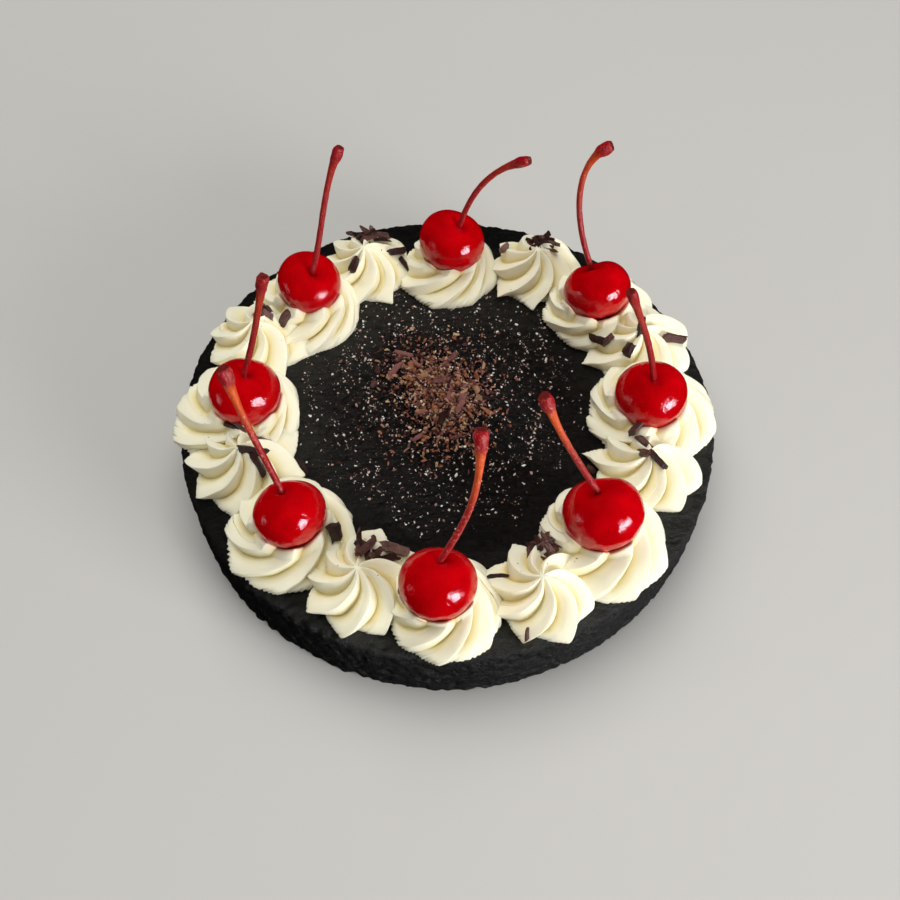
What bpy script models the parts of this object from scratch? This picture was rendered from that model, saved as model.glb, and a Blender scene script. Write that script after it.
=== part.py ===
"""Black forest cake: a low dark chocolate disc with a ring of piped cream rosettes.

Every second rosette is a broad one that cups a cocktail cherry on its stem, the
ones between are pointed, and grated chocolate lies in the middle.
Metres, +Z up. The origin is the centre of the cake's flat underside, -Y is the front.
"""

import math

import bmesh
import bpy
from mathutils import Vector
from mathutils.geometry import interpolate_bezier

MM = 0.001

# Cake
CAKE_RADIUS = 77.5 * MM
CAKE_HEIGHT = 20.0 * MM
CAKE_SIDES = 72
EDGE_BEVEL = 1.2 * MM          # the worn top edge
SIDE_WAVE = 0.5 * MM           # how far the side strays from a true circle
SLICE_TAPER = 0.992            # the underside is a little narrower than the top

# What rests on or against something else keeps this gap to it
GAP = 0.3 * MM

# Rosettes: a star nozzle's section, turned and drawn in as it rises
RING_CENTRE = Vector((0.0, -2.0 * MM, 0.0))
LOBES = 8
GROOVE_AT = 0.30               # where the groove lies, going anticlockwise from a crest (0) to the next (1)
TURN_TO_CHERRY = math.radians(105)
TURN_TO_PEAK = math.radians(75)
CHERRY_SHARE = 1.0 * MM        # how much further a cherry's rosette pushes its neighbours

# Each level of a rosette: height in mm, share of its radius, groove depth as a
# share of that level's radius, share of the turn and of the lean towards the top
BROAD_LEVELS = (
    (0.0, 0.95, 0.08, 0.00),
    (2.6, 1.00, 0.10, 0.14),
    (5.0, 0.87, 0.16, 0.42),
    (6.9, 0.67, 0.19, 0.76),
)
PEAK_LEVELS = (
    (0.0, 0.95, 0.16, 0.00),
    (2.8, 1.00, 0.20, 0.14),
    (5.6, 0.83, 0.25, 0.36),
    (8.2, 0.56, 0.26, 0.62),
    (10.1, 0.27, 0.22, 0.88),
)
PEAK_HEIGHT = 11.2 * MM
RIM_SHARE = 0.82               # the cup's rim as a share of the cherry's radius
RIM_GROOVE = 0.09
CUP_SHARE = 0.50               # the ring half way down the cup
CUP_GAP = 0.45 * MM            # kept all round the cherry, so flat faces stay clear too

# The ring as piped, anticlockwise from the right: angle in degrees, distance from
# the ring's centre and radius in mm, and the angle in degrees of one of its star's
# crests at the foot. The odd rows carry the cherries.
ROSETTES = (
    (0.0, 58.7, 19.3, 20),
    (22.0, 61.5, 16.8, 16),
    (39.0, 60.8, 17.7, 11),
    (63.0, 61.8, 15.4, 38),
    (90.0, 54.6, 15.8, 26),
    (115.2, 61.3, 15.0, 30),
    (139.3, 58.2, 17.8, 6),
    (156.0, 62.4, 15.4, 28),
    (181.6, 60.8, 18.6, 27),
    (198.4, 59.4, 15.8, 35),
    (223.6, 58.3, 17.4, 36),
    (247.0, 59.0, 14.8, 26),
    (268.7, 61.0, 15.8, 39),
    (292.0, 61.2, 14.4, 22),
    (313.1, 58.6, 17.6, 20),
    (340.0, 57.8, 15.4, 28),
)

# Cherries in the order of their rosettes, in mm: offset from the rosette's centre,
# width, and how far the stem end leans in x and y for each unit of its axis
CHERRY_LIFT = 13.0 * MM        # a cherry's centre above the cake
CHERRY_FLATNESS = 0.88         # height over width
DIMPLE_DEPTH = 1.4 * MM
DIMPLE_RADIUS = 2.4 * MM
CHERRIES = (
    ((-2.7, -2.5), 19.7, (-0.11, -0.05)),
    ((-2.6, -2.0), 20.3, (-0.32, 0.50)),
    ((1.4, 1.4), 20.4, (0.28, -0.11)),
    ((2.7, 0.8), 19.4, (0.25, -0.25)),
    ((4.5, -0.2), 19.9, (0.15, 0.05)),
    ((1.5, 0.1), 19.0, (-0.19, 0.34)),
    ((-1.7, 1.4), 19.6, (0.08, 0.34)),
    ((-1.0, 2.7), 21.2, (-0.29, 0.25)),
)

# Stems in the same order: each is one Bezier curve from the dimple, given by its
# two handles and its tip in mm from its foot, and by the radius of its clubbed end
STEM_RADIUS = 0.85 * MM
STEM_FOOT = 0.80               # share of the cherry's radius at which the stem starts
STEM_POINTS = 9
CLUB_START = 0.80              # share of the length at which the stem swells
STEMS = (
    ((-2.7, 0.2, 12.4), (-7.4, -0.4, 23.4), (-12.3, -0.6, 34.8), 1.5),
    ((-5.4, 5.1, 10.8), (-8.3, 14.1, 26.7), (2.6, 12.4, 33.0), 2.0),
    ((3.1, 1.4, 12.1), (8.3, 0.4, 21.8), (18.6, -3.9, 27.8), 1.8),
    ((4.1, 3.6, 12.2), (4.9, 7.9, 25.8), (10.5, 10.0, 36.1), 1.6),
    ((4.2, 0.6, 11.7), (7.3, 1.1, 23.5), (10.2, 1.8, 35.5), 1.9),
    ((-3.3, 3.7, 11.7), (-7.6, 7.3, 23.5), (-9.3, 11.3, 35.0), 2.0),
    ((7.0, 5.8, 11.6), (9.2, 7.2, 20.5), (8.7, 15.1, 33.1), 1.9),
    ((-6.1, 1.6, 10.7), (-11.8, 2.8, 21.3), (-16.1, 5.2, 32.9), 1.9),
)

# Grated chocolate
HEAP_CENTRE = Vector((-2.0 * MM, 5.0 * MM, CAKE_HEIGHT + GAP))
HEAP_RADIUS = 15.0 * MM
HEAP_HEIGHT = 2.6 * MM
HEAP_SIDES = 26


def clear_scene():
    for old in list(bpy.data.objects):
        bpy.data.objects.remove(old, do_unlink=True)


def finish_material(name, colour, roughness):
    material = bpy.data.materials.new(name)
    material.use_nodes = True
    shader = material.node_tree.nodes["Principled BSDF"]
    shader.inputs["Base Color"].default_value = (*colour, 1.0)
    shader.inputs["Roughness"].default_value = roughness
    shader.inputs["Metallic"].default_value = 0.0
    return material


def add_object(name, data, place, parent, material):
    made = bpy.data.objects.new(name, data)
    bpy.context.collection.objects.link(made)
    made.location = place
    made.parent = parent
    data.materials.append(material)
    return made


def mesh_from(name, shape):
    bmesh.ops.recalc_face_normals(shape, faces=shape.faces)
    mesh = bpy.data.meshes.new(name)
    shape.to_mesh(mesh)
    shape.free()
    mesh.shade_smooth()
    mesh.set_sharp_from_angle(angle=math.radians(40))
    return mesh


def bridge(shape, lower, upper):
    """Faces between two rings with the same number of corners."""
    count = len(lower)
    for k in range(count):
        after = (k + 1) % count
        shape.faces.new((lower[k], lower[after], upper[after], upper[k]))


def fan(shape, ring, pole):
    count = len(ring)
    for k in range(count):
        shape.faces.new((ring[k], ring[(k + 1) % count], pole))


def cake_mesh():
    """The disc: a cylinder with a worn top edge and a slightly wavy side."""
    shape = bmesh.new()
    bmesh.ops.create_cone(
        shape, cap_ends=True, segments=CAKE_SIDES, depth=CAKE_HEIGHT,
        radius1=CAKE_RADIUS * SLICE_TAPER, radius2=CAKE_RADIUS)
    bmesh.ops.translate(shape, verts=shape.verts, vec=(0.0, 0.0, CAKE_HEIGHT / 2))
    top_edges = [
        edge for edge in shape.edges
        if all(vert.co.z > CAKE_HEIGHT / 2 for vert in edge.verts)]
    bmesh.ops.bevel(
        shape, geom=top_edges, offset=EDGE_BEVEL, offset_type="OFFSET",
        segments=2, profile=0.5, affect="EDGES")
    for vert in shape.verts:
        turn = math.atan2(vert.co.y, vert.co.x)
        wave = math.sin(3 * turn + 0.6) + 0.6 * math.sin(7 * turn) + 0.4 * math.sin(13 * turn + 2.0)
        wave *= SIDE_WAVE / 2
        vert.co.xy *= 1 + wave / CAKE_RADIUS
    return mesh_from("cake_base", shape)


def rosette_centre(row):
    angle, distance = row[:2]
    turn = math.radians(angle)
    return RING_CENTRE + Vector((math.cos(turn), math.sin(turn), 0.0)) * distance * MM


def dividing_walls(index):
    """Upright planes (normal, offset from the rosette's centre) towards its neighbours."""
    centre = rosette_centre(ROSETTES[index])
    walls = []
    for other, row in enumerate(ROSETTES):
        if other == index:
            continue
        towards = rosette_centre(row) - centre
        distance = towards.length
        own = ROSETTES[index][2] * MM + CHERRY_SHARE * (index % 2 == 0)
        their = row[2] * MM + CHERRY_SHARE * (other % 2 == 0)
        if distance < own + their:
            reach = (distance ** 2 + own ** 2 - their ** 2) / (2 * distance)
            walls.append((towards / distance, reach - GAP / 2))
    return walls


def held_inside(point, middle, walls):
    """Draws a point in towards the middle of its level until no wall is crossed."""
    for normal, reach in walls:
        across = (point - middle).dot(normal)
        room = reach - middle.dot(normal)
        if across > room:
            point = middle + (point - middle) * (room / across)
    return point


def star_ring(radius, groove, turn):
    """A star nozzle's outline: each lobe has a crest, a steep flank, a groove and a slope."""
    corners = ((0.0, 0.0), (GROOVE_AT / 2, 0.6), (GROOVE_AT, 1.0), ((1 + GROOVE_AT) / 2, 0.35))
    ring = []
    for lobe in range(LOBES):
        for along, depth in corners:
            angle = turn + (lobe + along) * 2 * math.pi / LOBES
            reach = radius * (1 - groove * depth)
            ring.append(Vector((reach * math.cos(angle), reach * math.sin(angle), 0.0)))
    return ring


def star_levels(shape, radius, levels, full_turn, lean, walls, start):
    rings = []
    for height, share, groove, progress in levels:
        middle = lean * progress
        ring = []
        for corner in star_ring(radius * share, groove, start + full_turn * progress):
            place = held_inside(middle + corner, middle, walls)
            place.z = height * MM
            ring.append(shape.verts.new(place))
        rings.append(ring)
    for lower, upper in zip(rings, rings[1:]):
        bridge(shape, lower, upper)
    shape.faces.new(rings[0])
    return rings[-1]


def underside(offset, across, height, axis):
    """Depth below a cherry's centre at which its widened underside lies."""
    wide = 1 / (across / 2 + CUP_GAP) ** 2
    extra = 1 / (height / 2 + CUP_GAP) ** 2 - wide
    along = offset.x * axis.x + offset.y * axis.y
    square = wide + extra * axis.z ** 2
    linear = 2 * extra * along * axis.z
    constant = offset.xy.length_squared * wide + extra * along ** 2 - 1
    root = math.sqrt(linear ** 2 - 4 * square * constant)
    return (linear + root) / (2 * square)


def peak_rosette_mesh(name, radius, walls, start):
    shape = bmesh.new()
    top = star_levels(shape, radius, PEAK_LEVELS, TURN_TO_PEAK, Vector(), walls, start)
    fan(shape, top, shape.verts.new((0.0, 0.0, PEAK_HEIGHT)))
    return mesh_from(name, shape)


def cherry_rosette_mesh(name, radius, walls, start, cherry):
    """A broad rosette, leaning to its cherry, with a cup pressed into the top."""
    offset, width, tilt = cherry
    lean = Vector((*offset, 0.0)) * MM
    across = width * MM
    axis = stem_axis(tilt)

    def cup_point(corner, deeper):
        depth = underside(corner, across, across * CHERRY_FLATNESS, axis)
        return Vector((lean.x + corner.x, lean.y + corner.y, CHERRY_LIFT - GAP - depth - deeper))

    shape = bmesh.new()
    shoulder = star_levels(shape, radius, BROAD_LEVELS, TURN_TO_CHERRY, lean, walls, start)
    rim_corners = star_ring(across / 2 * RIM_SHARE, RIM_GROOVE, start + TURN_TO_CHERRY)
    rim = [shape.verts.new(cup_point(corner, 0.0)) for corner in rim_corners]
    cup_corners = star_ring(across / 2 * CUP_SHARE, 0.0, start + TURN_TO_CHERRY)
    cup = [shape.verts.new(cup_point(corner, 0.2 * MM)) for corner in cup_corners]
    bridge(shape, shoulder, rim)
    bridge(shape, rim, cup)
    fan(shape, cup, shape.verts.new(cup_point(Vector(), 0.4 * MM)))
    return mesh_from(name, shape)


def stem_axis(tilt):
    return Vector((tilt[0], tilt[1], math.sqrt(1 - tilt[0] ** 2 - tilt[1] ** 2)))


def cherry_mesh(name, across):
    """A flattened ball with a dimple at its stem end, which is +Z here."""
    shape = bmesh.new()
    bmesh.ops.create_uvsphere(shape, u_segments=14, v_segments=8, radius=across / 2)
    bmesh.ops.scale(shape, verts=shape.verts, vec=(1.0, 1.0, CHERRY_FLATNESS))
    for vert in shape.verts:
        if vert.co.z > 0:
            vert.co.z -= DIMPLE_DEPTH * math.exp(-(vert.co.xy.length / DIMPLE_RADIUS) ** 2)
    return mesh_from(name, shape)


def stem_curve(name, handles, club_radius):
    curve = bpy.data.curves.new(name, "CURVE")
    curve.dimensions = "3D"
    curve.bevel_depth = 1.0
    curve.bevel_resolution = 1
    curve.use_fill_caps = True
    foot = Vector()
    first, second, tip = (Vector(handle) * MM for handle in handles)
    route = interpolate_bezier(foot, first, second, tip, STEM_POINTS)
    spline = curve.splines.new("POLY")
    spline.points.add(STEM_POINTS - 1)
    for k, place in enumerate(route):
        along = k / (STEM_POINTS - 1)
        swell = max(0.0, (along - CLUB_START) / (1 - CLUB_START))
        spline.points[k].co = (*place, 1.0)
        spline.points[k].radius = STEM_RADIUS + (club_radius * MM - STEM_RADIUS) * swell
    return curve


def heap_mesh():
    """The grated chocolate's outline and bulk: an uneven low mound."""
    shape = bmesh.new()
    rings = []
    for share, height in ((1.0, 0.0), (0.92, 0.45), (0.5, 0.85)):
        ring = []
        for k in range(HEAP_SIDES):
            turn = 2 * math.pi * k / HEAP_SIDES
            uneven = 1 + 0.12 * math.sin(2 * turn + 1.0) + 0.09 * math.sin(5 * turn)
            reach = HEAP_RADIUS * share * uneven
            lift = HEAP_HEIGHT * height * (1 + 0.12 * math.sin(3 * turn) * share)
            ring.append(shape.verts.new((reach * math.cos(turn), reach * math.sin(turn), lift)))
        rings.append(ring)
    shape.faces.new(rings[0])
    bridge(shape, rings[0], rings[1])
    bridge(shape, rings[1], rings[2])
    fan(shape, rings[2], shape.verts.new((0.0, 0.0, HEAP_HEIGHT)))
    return mesh_from("chocolate_heap", shape)


def build_rosettes(root, cream):
    for index, row in enumerate(ROSETTES):
        name = f"rosette_{index + 1:02d}"
        radius = row[2] * MM
        start = math.radians(row[3])
        walls = dividing_walls(index)
        if index % 2 == 0:
            mesh = cherry_rosette_mesh(name, radius, walls, start, CHERRIES[index // 2])
        else:
            mesh = peak_rosette_mesh(name, radius, walls, start)
        place = rosette_centre(row) + Vector((0.0, 0.0, CAKE_HEIGHT + GAP))
        add_object(name, mesh, place, root, cream)


def build_cherries(root, skin, stalk):
    for number, ((offset, width, tilt), stem) in enumerate(zip(CHERRIES, STEMS), start=1):
        across = width * MM
        axis = stem_axis(tilt)
        centre = rosette_centre(ROSETTES[2 * (number - 1)]) + Vector((*offset, 0.0)) * MM
        centre.z = CAKE_HEIGHT + CHERRY_LIFT
        name = f"cherry_{number}"
        cherry = add_object(name, cherry_mesh(name, across), centre, root, skin)
        cherry.rotation_euler = Vector((0.0, 0.0, 1.0)).rotation_difference(axis).to_euler()
        name = f"stem_{number}"
        foot = centre + axis * (across / 2 * STEM_FOOT)
        add_object(name, stem_curve(name, stem[:3], stem[3]), foot, root, stalk)


def build():
    clear_scene()
    root = bpy.data.objects.new("cake_root", None)
    bpy.context.collection.objects.link(root)
    chocolate_cake = finish_material("chocolate_cake", (0.013, 0.013, 0.012), 0.45)
    cream = finish_material("cream", (0.86, 0.83, 0.66), 0.42)
    cherry = finish_material("cherry", (0.55, 0.002, 0.006), 0.12)
    stem = finish_material("stem", (0.38, 0.008, 0.012), 0.28)
    grated = finish_material("grated_chocolate", (0.055, 0.028, 0.022), 0.55)
    add_object("cake_base", cake_mesh(), (0.0, 0.0, 0.0), root, chocolate_cake)
    build_rosettes(root, cream)
    build_cherries(root, cherry, stem)
    add_object("chocolate_heap", heap_mesh(), HEAP_CENTRE, root, grated)


build()
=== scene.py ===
import math
import random

import bmesh
import bpy
from mathutils import Matrix, Vector, noise
from mathutils.bvhtree import BVHTree
from mathutils.geometry import interpolate_bezier


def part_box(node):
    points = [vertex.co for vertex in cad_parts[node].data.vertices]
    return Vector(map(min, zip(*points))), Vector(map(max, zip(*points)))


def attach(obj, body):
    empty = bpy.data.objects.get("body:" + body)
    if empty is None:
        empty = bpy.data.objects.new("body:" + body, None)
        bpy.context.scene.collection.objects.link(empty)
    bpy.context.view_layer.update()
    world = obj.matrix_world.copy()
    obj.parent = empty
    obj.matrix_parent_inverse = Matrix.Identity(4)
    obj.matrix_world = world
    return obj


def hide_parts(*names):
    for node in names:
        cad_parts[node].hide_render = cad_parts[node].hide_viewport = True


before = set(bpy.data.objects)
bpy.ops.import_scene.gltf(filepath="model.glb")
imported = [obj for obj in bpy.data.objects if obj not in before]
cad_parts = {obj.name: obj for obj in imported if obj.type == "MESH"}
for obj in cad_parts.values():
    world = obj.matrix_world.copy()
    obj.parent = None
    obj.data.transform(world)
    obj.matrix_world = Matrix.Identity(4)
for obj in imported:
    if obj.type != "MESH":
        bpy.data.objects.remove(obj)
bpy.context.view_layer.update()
MM = 0.001


# The view: held a hand's breadth in front of the cake and well above it, looking down
# steeply enough to see the whole ring of cream and the chocolate in the middle.
bpy.ops.object.camera_add(
    location=(-0.0038, -0.16005, 0.24397),
    rotation=(math.radians(33.005), math.radians(-0.771), math.radians(-0.468)),
)
camera = bpy.context.object
camera.data.lens = 37.91
bpy.context.scene.camera = camera


# The light: a wide low window to the front right does most of the work, a soft ceiling
# that isn't mirrored in anything glossy fills in, and a pale wall answers from the left.
def soft_light(name, place, size, power, tint, mirrored):
    bpy.ops.object.light_add(type="AREA", location=place)
    light = bpy.context.object
    light.name = name
    light.rotation_euler = (-Vector(place)).to_track_quat("-Z", "Y").to_euler()
    light.data.shape = "RECTANGLE"
    light.data.size, light.data.size_y = size
    light.data.energy = power
    light.data.color = tint
    light.visible_glossy = mirrored


soft_light("window", (0.80, -0.62, 0.24), (0.46, 0.38), 10.6, (1.0, 0.99, 0.98), True)
soft_light("pale_wall", (-0.98, -0.22, 0.10), (0.26, 0.24), 0.4, (1.0, 0.97, 0.93), True)
soft_light("ceiling", (-0.18, 0.40, 1.55), (1.8, 1.8), 26.5, (1.0, 0.985, 0.955), False)

room = bpy.data.worlds.new("room")
room.use_nodes = True
room.node_tree.nodes["Background"].inputs["Color"].default_value = (0.80, 0.81, 0.80, 1.0)
room.node_tree.nodes["Background"].inputs["Strength"].default_value = 0.15
room.cycles_visibility.glossy = False
bpy.context.scene.world = room
bpy.context.scene.view_settings.view_transform = "Standard"


# The floor: a plain pale board, barely mottled, that only carries the cake's shadow.
# Its finish is the first, so what every finish is built with is defined here.
class Amount:
    """A number that changes over a surface. Sums of these add the Math nodes they need."""

    def __init__(self, finish, socket):
        self.finish = finish
        self.socket = socket

    def maths(self, operation, *terms):
        return self.finish.node("ShaderNodeMath", {"operation": operation}, dict(enumerate(terms)))

    def __add__(self, other):
        return self.maths("ADD", self, other)

    def __sub__(self, other):
        return self.maths("SUBTRACT", self, other)

    def __rsub__(self, other):
        return self.maths("SUBTRACT", other, self)

    def __mul__(self, other):
        return self.maths("MULTIPLY", self, other)

    def __pow__(self, other):
        return self.maths("POWER", self, other)

    __radd__ = __add__
    __rmul__ = __mul__


class Finish:
    """A material: one Principled shader, and the nodes that paint and roughen it."""

    def __init__(self, name, constants):
        self.material = bpy.data.materials.new(name)
        self.material.use_nodes = True
        self.tree = self.material.node_tree
        self.shader = self.tree.nodes["Principled BSDF"]
        for socket, value in constants.items():
            self.shader.inputs[socket].default_value = value

    def node(self, kind, settings, inputs, output=0):
        """One node: its settings first (a ramp's stops among them), then values or links."""
        made = self.tree.nodes.new(kind)
        for setting, value in settings.items():
            if setting == "stops":
                self.ramp_stops(made.color_ramp, value)
            else:
                setattr(made, setting, value)
        for socket, value in inputs.items():
            if isinstance(value, Amount):
                self.tree.links.new(value.socket, made.inputs[socket])
            else:
                made.inputs[socket].default_value = value
        return Amount(self, made.outputs[output])

    def ramp_stops(self, ramp, stops):
        while len(ramp.elements) < len(stops):
            ramp.elements.new(0.5)
        for element, (place, value) in zip(ramp.elements, stops):
            element.position = place
            element.color = (value, value, value, 1.0)

    def here(self, scale=(1.0, 1.0, 1.0)):
        """Object coordinates, stretched by a scale along each axis."""
        place = self.node("ShaderNodeTexCoord", {}, {}, "Object")
        return self.node("ShaderNodeMapping", {}, {"Vector": place, "Scale": scale})

    def grain(self, size, scale=(1.0, 1.0, 1.0), detail=2.0, roughness=0.5):
        """Noise from about 0 to 1, whose blotches are about that many metres across."""
        inputs = {"Vector": self.here(scale), "Scale": 1 / size, "Detail": detail,
                  "Roughness": roughness}
        return self.node("ShaderNodeTexNoise", {}, inputs, "Fac")

    def steps(self, value, *stops):
        """A value remapped along a ramp of (place, brightness) stops."""
        return self.node("ShaderNodeValToRGB", {"stops": stops}, {"Fac": value})

    def blend(self, share, first, second):
        """A colour between two, by a varying share."""
        colours = [c if isinstance(c, Amount) else (*c, 1.0) for c in (first, second)]
        inputs = {0: share, 6: colours[0], 7: colours[1]}
        return self.node("ShaderNodeMix", {"data_type": "RGBA"}, inputs, 2)

    def relief(self, height, depth, strength=1.0):
        """A Bump node over a height from 0 to 1 that stands for that many metres."""
        inputs = {"Height": height, "Distance": depth, "Strength": strength}
        return self.node("ShaderNodeBump", {}, inputs)

    def varies(self, **sockets):
        for socket, value in sockets.items():
            wanted = self.shader.inputs[socket.replace("_", " ")]
            self.tree.links.new(value.socket, wanted)


def floor_finish():
    finish = Finish("floor_board", {"Roughness": 0.7})
    mottle = finish.grain(0.30, detail=3.0)
    finish.varies(Base_Color=finish.blend(mottle, (0.54, 0.53, 0.505), (0.59, 0.585, 0.57)))
    return finish.material


def start_piece(add, **settings):
    """Deselects everything, then adds a primitive as the start of a piece."""
    bpy.ops.object.select_all(action="DESELECT")
    add(**settings)
    return bpy.context.object


floor = start_piece(bpy.ops.mesh.primitive_plane_add, size=6.0)
floor.name = "floor"
floor.data.materials.append(floor_finish())
floor.visible_glossy = False


# The cake: one low disc of very dark chocolate sponge, trimmed by hand, so its side is
# crumbly and strays from a true circle, and its top is dull with knife-dragged streaks.
CAKE_RADIUS = 76.75 * MM
CAKE_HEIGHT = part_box("cake_base")[1].z
CAKE_EDGE = 1.3 * MM            # the worn round of the top edge
CRUMB_GRID = 0.66 * MM          # the size of the mesh's squares
UNDERCUT = 0.5 * MM             # sponge trimmed off flat below the underside


def cake_surface(place):
    """How far a point of the cake's skin is pushed in or out, in metres."""
    side = min(1.0, max(0.0, (place.xy.length - CAKE_RADIUS + 4 * MM) / (4 * MM)))
    turn = math.atan2(place.y, place.x)
    stray = math.sin(3 * turn + 0.6) + 0.6 * math.sin(7 * turn) + 0.4 * math.sin(13 * turn + 2.0)
    crumbs = noise.fractal(place / (2.8 * MM), 0.8, 2.0, 3)
    pits = min(0.0, noise.noise(place / (2.1 * MM) + Vector((7.0, 3.0, 5.0))) + 0.22)
    dragged = Vector((place.x / (4.6 * MM), place.y / (1.7 * MM), place.z / (3.0 * MM)))
    streaks = noise.noise(dragged) + 0.6 * noise.noise(dragged * 2.1)
    cracks = max(0.0, 0.12 - abs(noise.noise(dragged * 0.7 + Vector((3.0, 8.0, 1.0))))) / 0.12
    swell = noise.noise(place / (14 * MM))
    on_side = 0.18 * stray + 0.50 * crumbs + 1.7 * pits
    on_top = 0.30 * streaks + 0.16 * crumbs + 0.70 * pits + 0.15 * swell - 0.40 * cracks
    return (side * on_side + (1 - side) * on_top) * MM


def cake_finish():
    finish = Finish("dark_sponge", {"Specular IOR Level": 0.5})
    streaks = finish.grain(1.6 * MM, scale=(0.25, 1.0, 1.0), detail=4.0, roughness=0.6)
    crumbs = finish.grain(0.9 * MM, detail=5.0, roughness=0.7)
    patches = finish.grain(20 * MM, detail=3.0)
    sooty = finish.blend(finish.steps(crumbs, (0.30, 0.0), (0.62, 1.0)), (0.0010, 0.0011, 0.0014),
                         (0.0078, 0.0078, 0.0080))
    dusty = finish.blend(finish.steps(streaks, (0.55, 0.0), (0.74, 1.0)), sooty,
                         (0.0125, 0.0130, 0.0120))
    # Painted sheen: a ring of the top, under and just inside the cream, is painted a lighter grey-green
    # to stand in for reflected light.
    middle = finish.node("ShaderNodeVectorMath", {"operation": "DISTANCE"},
                         {0: finish.here(), 1: (4 * MM, -8 * MM, CAKE_HEIGHT)}, "Value")
    painted_sheen_ring = finish.steps(middle * (1 / CAKE_RADIUS) + 0.22 * patches - 0.11,
                         (0.50, 0.0), (0.60, 1.0), (0.86, 1.0), (0.93, 0.0))
    finish.varies(
        Base_Color=finish.blend(0.45 * painted_sheen_ring * (0.3 + 1.2 * streaks), dusty, (0.0150, 0.0160, 0.0140)),
        Roughness=0.26 + 0.34 * crumbs + 0.10 * patches,
        Normal=finish.relief(streaks + crumbs, 0.75 * MM, 1.0),
    )
    return finish.material


def select_where(mesh, kind, wanted):
    """In edit mode: selects only the vertices, edges or faces that pass a test."""
    bpy.ops.mesh.select_all(action="DESELECT")
    bpy.ops.mesh.select_mode(type=kind)
    shape = bmesh.from_edit_mesh(mesh)
    parts = {"VERT": shape.verts, "EDGE": shape.edges, "FACE": shape.faces}[kind]
    for part in parts:
        if wanted(part):
            part.select_set(True)
    shape.select_flush_mode()
    bmesh.update_edit_mesh(mesh)


def close_up(mesh):
    """In edit mode: merges doubles and turns every face outwards."""
    bpy.ops.mesh.select_all(action="SELECT")
    bpy.ops.mesh.remove_doubles(threshold=0.000005)
    bpy.ops.mesh.normals_make_consistent(inside=False)
    bpy.ops.mesh.select_all(action="DESELECT")


def finished(piece, name, material, slot, *nodes):
    """A piece's last step: its name, its finish, and what it rides on and stands for."""
    piece.name = name
    piece.data.name = name
    piece.data.materials.clear()
    piece.data.materials.append(material)
    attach(piece, "root")
    if nodes:
        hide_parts(*nodes)


def apply_place():
    bpy.ops.object.transform_apply(location=True, rotation=True, scale=True)


cake = start_piece(
    bpy.ops.mesh.primitive_cylinder_add,
    vertices=180, radius=CAKE_RADIUS, depth=CAKE_HEIGHT + UNDERCUT,
    location=(0.0, 0.0, (CAKE_HEIGHT - UNDERCUT) / 2),
)
apply_place()
bpy.ops.object.mode_set(mode="EDIT")
select_where(cake.data, "EDGE", lambda e: all(v.co.z > CAKE_HEIGHT - MM for v in e.verts))
bpy.ops.mesh.bevel(offset=CAKE_EDGE, segments=3, profile=0.5)
bpy.ops.object.mode_set(mode="OBJECT")
remesh = cake.modifiers.new("crumb_grid", "REMESH")
remesh.mode = "VOXEL"
remesh.voxel_size = CRUMB_GRID
bpy.ops.object.modifier_apply(modifier=remesh.name)
pushes = [vert.normal * cake_surface(vert.co) for vert in cake.data.vertices]
for vert, push in zip(cake.data.vertices, pushes):
    vert.co += push
bpy.ops.object.mode_set(mode="EDIT")
bpy.ops.mesh.select_all(action="SELECT")
bpy.ops.mesh.bisect(plane_co=(0.0, 0.0, 0.0), plane_no=(0.0, 0.0, 1.0), use_fill=True,
                    clear_inner=True, threshold=0.00000001)
close_up(cake.data)
bpy.ops.object.mode_set(mode="OBJECT")
bpy.ops.object.shade_smooth_by_angle(angle=math.radians(60))
finished(cake, "chocolate_sponge", cake_finish(), "chocolate_cake", "cake_base")


# The cream: sixteen rosettes squeezed from an eight-toothed star nozzle, turned as it
# lifts. Broad ones open into a cup for a cherry, those between are drawn up to a point.
RING_CENTRE = Vector((0.0, -2.0 * MM, 0.0))
LOBES = 8
FLANK_STEPS = 12                # mesh steps down a petal's steep side, and up its broad face
FACE_STEPS = 22
STEEP_SHARE = 0.30              # the share of a petal that falls steeply, give or take
RINGS_PER_LEVEL = 5
TEAR = 0.80 * MM                # how deep the torn edge's teeth are
TURN_TO_CHERRY = math.radians(66)
TURN_TO_PEAK = math.radians(66)
# Each level: a crest's height in mm, share of the radius, how much nearer the axis the
# groove lies as a share of that, share of the turn, and the groove's drop in mm. The broad
# ones end where the cherry's cup begins.
BROAD_LEVELS = (
    (-0.4, 0.93, 0.04, 0.00, 0.0),
    (0.4, 0.985, 0.05, 0.02, 0.0),
    (1.4, 1.00, 0.07, 0.06, 0.2),
    (2.8, 0.97, 0.10, 0.15, 0.8),
    (4.4, 0.90, 0.11, 0.30, 1.7),
    (6.1, 0.81, 0.11, 0.50, 2.4),
    (7.7, 0.72, 0.10, 0.73, 2.6),
    (9.0, 0.64, 0.09, 0.93, 2.2),
)
PEAK_LEVELS = (
    (-0.4, 0.92, 0.13, 0.00, 0.0),
    (0.5, 0.98, 0.18, 0.02, 0.0),
    (1.6, 1.01, 0.21, 0.06, 0.4),
    (3.1, 0.97, 0.21, 0.15, 1.4),
    (4.8, 0.86, 0.18, 0.30, 2.5),
    (6.5, 0.71, 0.15, 0.47, 3.2),
    (8.1, 0.53, 0.13, 0.65, 3.2),
    (9.4, 0.35, 0.12, 0.82, 2.6),
    (10.4, 0.18, 0.10, 0.94, 1.5),
    (11.0, 0.06, 0.06, 1.00, 0.4),
)
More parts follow.
